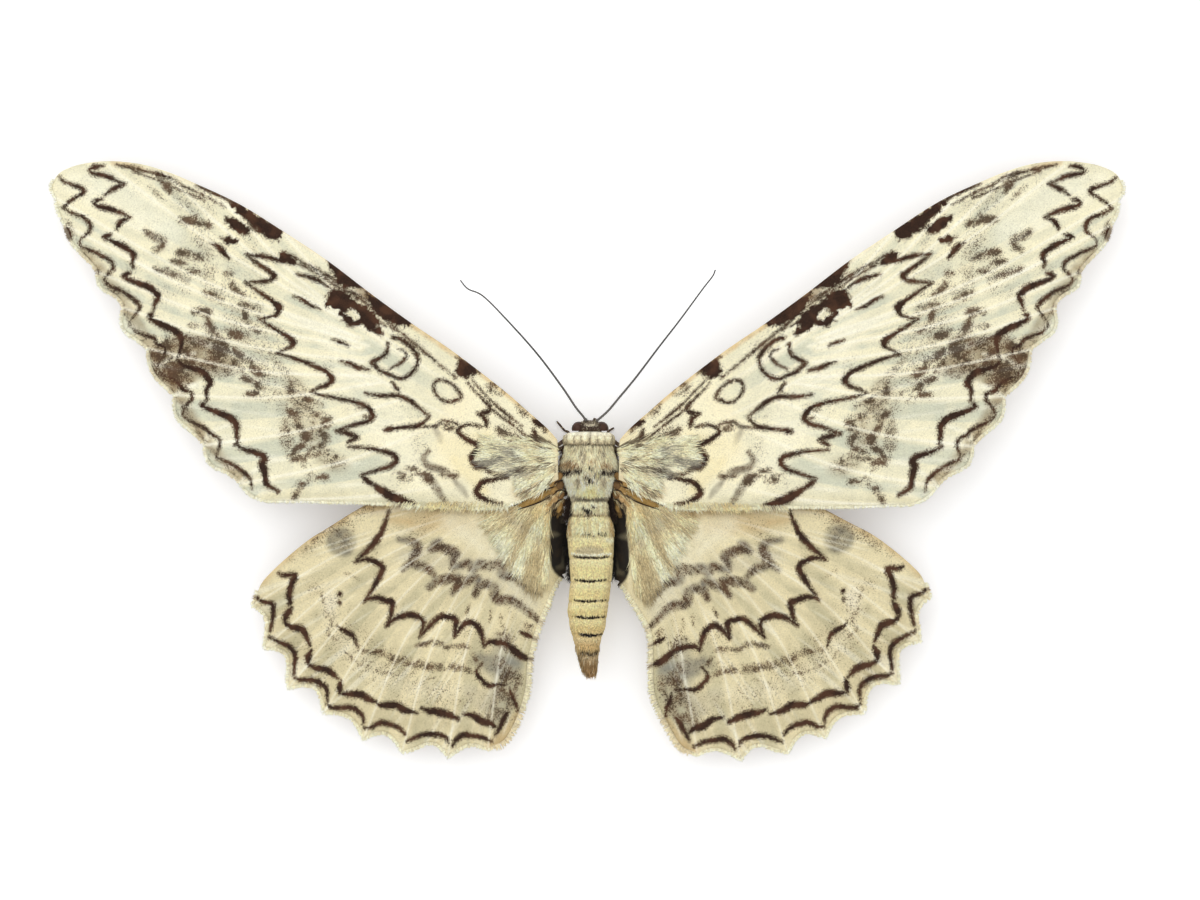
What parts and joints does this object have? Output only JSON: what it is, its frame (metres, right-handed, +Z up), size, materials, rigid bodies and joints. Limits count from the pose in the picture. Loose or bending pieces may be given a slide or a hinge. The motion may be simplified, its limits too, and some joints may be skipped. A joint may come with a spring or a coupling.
{
  "type": "white witch moth",
  "caption": "Spread white witch moth at life size: broad cream wings with dark zigzag lines and toothed rear wings, furry body, thread feelers, standing on its feet.",
  "frame": {"origin": "on the floor, below the middle of the spread wings' bounding box", "axes": "+Z up, out of the moth's back; +Y towards its head; +X across the wings, towards its right"},
  "size_m": [0.2693, 0.1505, 0.0164],
  "materials": {
    "head_scales": "dark brown hair-scales, matt",
    "eye_lens": "dark reddish-brown compound eye with fine facets, glossy",
    "feeler": "thread-like horn of many short joints, dull grey-brown",
    "palp_scales": "short brown and beige scales, matt",
    "tongue_skin": "smooth amber-brown horn, half matt",
    "collar_scales": "flat cream scales with a dark rear line, matt",
    "thorax_scales": "long cream, tan and grey hair-scales, matt",
    "shoulder_scales": "long cream hair-scales with dark bars, matt",
    "waist_scales": "cream tufts with black spots over grey-brown sides, matt",
    "abdomen_scales": "ochre-cream scales with a black rear band on each ring, matt",
    "forewing_scales": "cream scales with dark brown zigzag lines and brown dust, matt",
    "hindwing_scales": "tan-cream scales with dark brown scalloped lines, matt",
    "leg_scales": "brown scales with paler rings, matt"
  },
  "bodies": {
    "root": {"abdomen_1": "abdomen_scales", "abdomen_2": "abdomen_scales", "abdomen_3": "abdomen_scales", "abdomen_4": "abdomen_scales", "abdomen_5": "abdomen_scales", "abdomen_6": "abdomen_scales", "abdomen_7": "abdomen_scales", "abdomen_8": "abdomen_scales", "antenna_base_left": "feeler", "antenna_base_right": "feeler", "antenna_tip_left": "feeler", "antenna_tip_right": "feeler", "collar_left": "collar_scales", "collar_right": "collar_scales", "eye_left": "eye_lens", "eye_right": "eye_lens", "forewing_left": "forewing_scales", "forewing_right": "forewing_scales", "head": "head_scales", "hindwing_left": "hindwing_scales", "hindwing_right": "hindwing_scales", "leg_front_left_foot": "leg_scales", "leg_front_left_shank": "leg_scales", "leg_front_left_thigh": "leg_scales", "leg_front_right_foot": "leg_scales", "leg_front_right_shank": "leg_scales", "leg_front_right_thigh": "leg_scales", "leg_hind_left_foot": "leg_scales", "leg_hind_left_shank": "leg_scales", "leg_hind_left_thigh": "leg_scales", "leg_hind_right_foot": "leg_scales", "leg_hind_right_shank": "leg_scales", "leg_hind_right_thigh": "leg_scales", "leg_middle_left_foot": "leg_scales", "leg_middle_left_shank": "leg_scales", "leg_middle_left_thigh": "leg_scales", "leg_middle_right_foot": "leg_scales", "leg_middle_right_shank": "leg_scales", "leg_middle_right_thigh": "leg_scales", "metathorax": "waist_scales", "palp_left": "palp_scales", "palp_right": "palp_scales", "proboscis": "tongue_skin", "tegula_left": "shoulder_scales", "tegula_right": "shoulder_scales", "thorax": "thorax_scales"}
  },
  "joints": []
}
